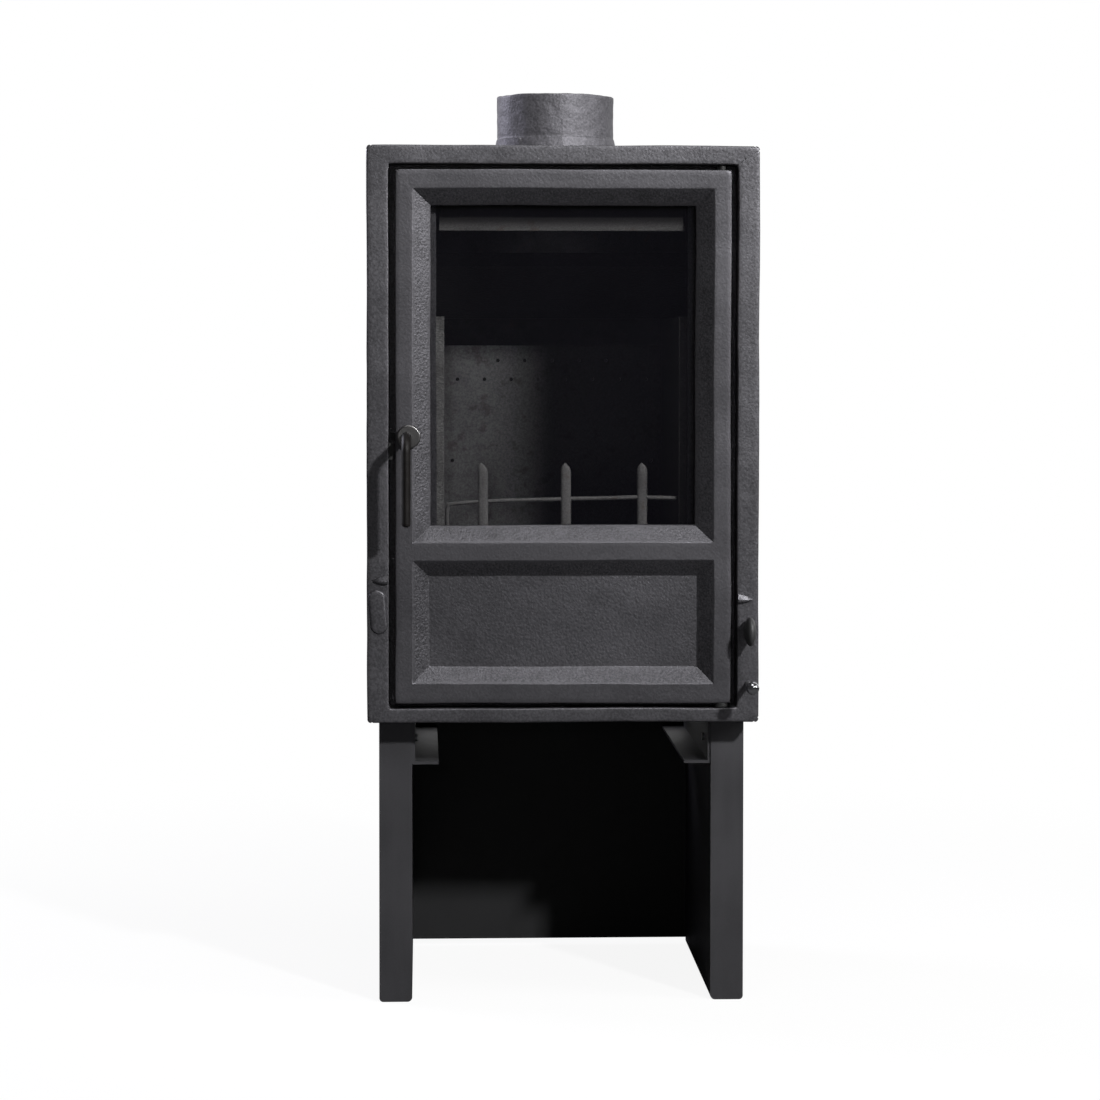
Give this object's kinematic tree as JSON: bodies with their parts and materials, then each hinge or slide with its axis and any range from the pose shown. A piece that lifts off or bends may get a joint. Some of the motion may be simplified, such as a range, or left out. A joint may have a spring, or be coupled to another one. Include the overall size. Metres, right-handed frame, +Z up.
{
  "type": "wood stove",
  "caption": "Tall cast-iron wood stove with a flush glazed door, lever handle, air knobs and a flue collar, standing on an open sheet-steel log stand.",
  "frame": {"origin": "on the floor, below the middle of the bounding box", "axes": "+Z up, -Y out of the door's front, +X to the right of someone who faces the stove"},
  "size_m": [0.395, 0.4096, 0.934],
  "materials": {
    "casting_paint": "satin graphite stove paint over a fine-grained casting",
    "collar_paint": "dry, rougher graphite paint",
    "sheet_paint": "satin graphite stove paint on sheet steel",
    "bare_casting": "heat-greyed casting",
    "firebox_steel": "dull dark steel",
    "fire_board": "matt fire board darkened by soot",
    "window_glass": "clear heat-proof glass",
    "rope_fibre": "woven grey glass fibre",
    "ball_chrome": "polished",
    "rosette_nickel": "nickel, slightly dulled",
    "lever_bronze": "bronze-black, semi-gloss",
    "knob_black": "semi-gloss black",
    "plain_steel": "plain steel"
  },
  "bodies": {
    "stove": {"front_frame": "casting_paint", "oval_blanking_cap": "casting_paint", "flue_collar": "collar_paint", "left_side_panel": "sheet_paint", "right_side_panel": "sheet_paint", "back_panel": "sheet_paint", "top_plate": "sheet_paint", "base_plate": "sheet_paint", "stand_left_side": "sheet_paint", "stand_right_side": "sheet_paint", "stand_bearers": "sheet_paint", "stand_back_panel": "sheet_paint", "left_shelf_rail": "sheet_paint", "right_shelf_rail": "sheet_paint", "grate": "bare_casting", "rear_air_plate": "bare_casting", "firebox_floor": "bare_casting", "firebox_left_wall": "firebox_steel", "firebox_right_wall": "firebox_steel", "firebox_back_wall": "firebox_steel", "ash_shelf": "firebox_steel", "airwash_plate": "firebox_steel", "air_slide_guides": "firebox_steel", "left_lining": "fire_board", "right_lining": "fire_board", "baffle_plate": "fire_board", "collar_gasket": "rope_fibre", "tie_rods": "plain_steel", "tie_rod_nuts": "plain_steel", "collar_screws": "plain_steel", "hinge_pins": "plain_steel", "hinge_washer": "plain_steel", "latch_keeper": "plain_steel", "keeper_screws": "plain_steel", "rail_screws": "plain_steel", "stand_bolts": "plain_steel", "stand_panel_screws": "plain_steel", "airwash_screws": "plain_steel"},
    "door": {"door_casting": "casting_paint", "door_glass": "window_glass", "glass_gasket": "rope_fibre", "glass_clips": "firebox_steel", "glass_clip_screws": "plain_steel", "door_rope_seal": "rope_fibre", "handle_rosette": "rosette_nickel"},
    "handle": {"handle_lever": "lever_bronze", "latch_tongue": "plain_steel", "tongue_pin": "plain_steel"},
    "primary_air": {"primary_air_knob": "ball_chrome", "primary_air_rod": "plain_steel", "primary_air_slide": "firebox_steel"},
    "secondary_air": {"secondary_air_knob": "knob_black", "secondary_air_rod": "plain_steel", "secondary_air_slide": "firebox_steel"},
    "ash_drawer": {"ash_pan": "firebox_steel", "ash_pan_grip": "firebox_steel"},
    "fence": {"log_fence": "bare_casting"}
  },
  "joints": [
    {"name": "door_swing", "type": "hinge", "parent": "stove", "child": "door", "pos_m": [0.16, -0.14025, 0.57775], "axis": [0, 0, 1], "range_deg": [0, 95]},
    {"name": "handle_turn", "type": "hinge", "parent": "door", "child": "handle", "pos_m": [-0.158, -0.14825, 0.578], "axis": [0, 1, 0], "range_deg": [-20, 70]},
    {"name": "primary_air_slide", "type": "slide", "parent": "stove", "child": "primary_air", "axis": [0, -1, 0], "range_m": [0, 0.025]},
    {"name": "secondary_air_slide", "type": "slide", "parent": "stove", "child": "secondary_air", "axis": [0, -1, 0], "range_m": [0, 0.02]},
    {"name": "ash_pan_slide", "type": "slide", "parent": "stove", "child": "ash_drawer", "axis": [0, -1, 0], "range_m": [0, 0.032]},
    {"name": "fence_lift", "type": "slide", "parent": "stove", "child": "fence", "axis": [0, 0, 1], "range_m": [0, 0.035]}
  ]
}
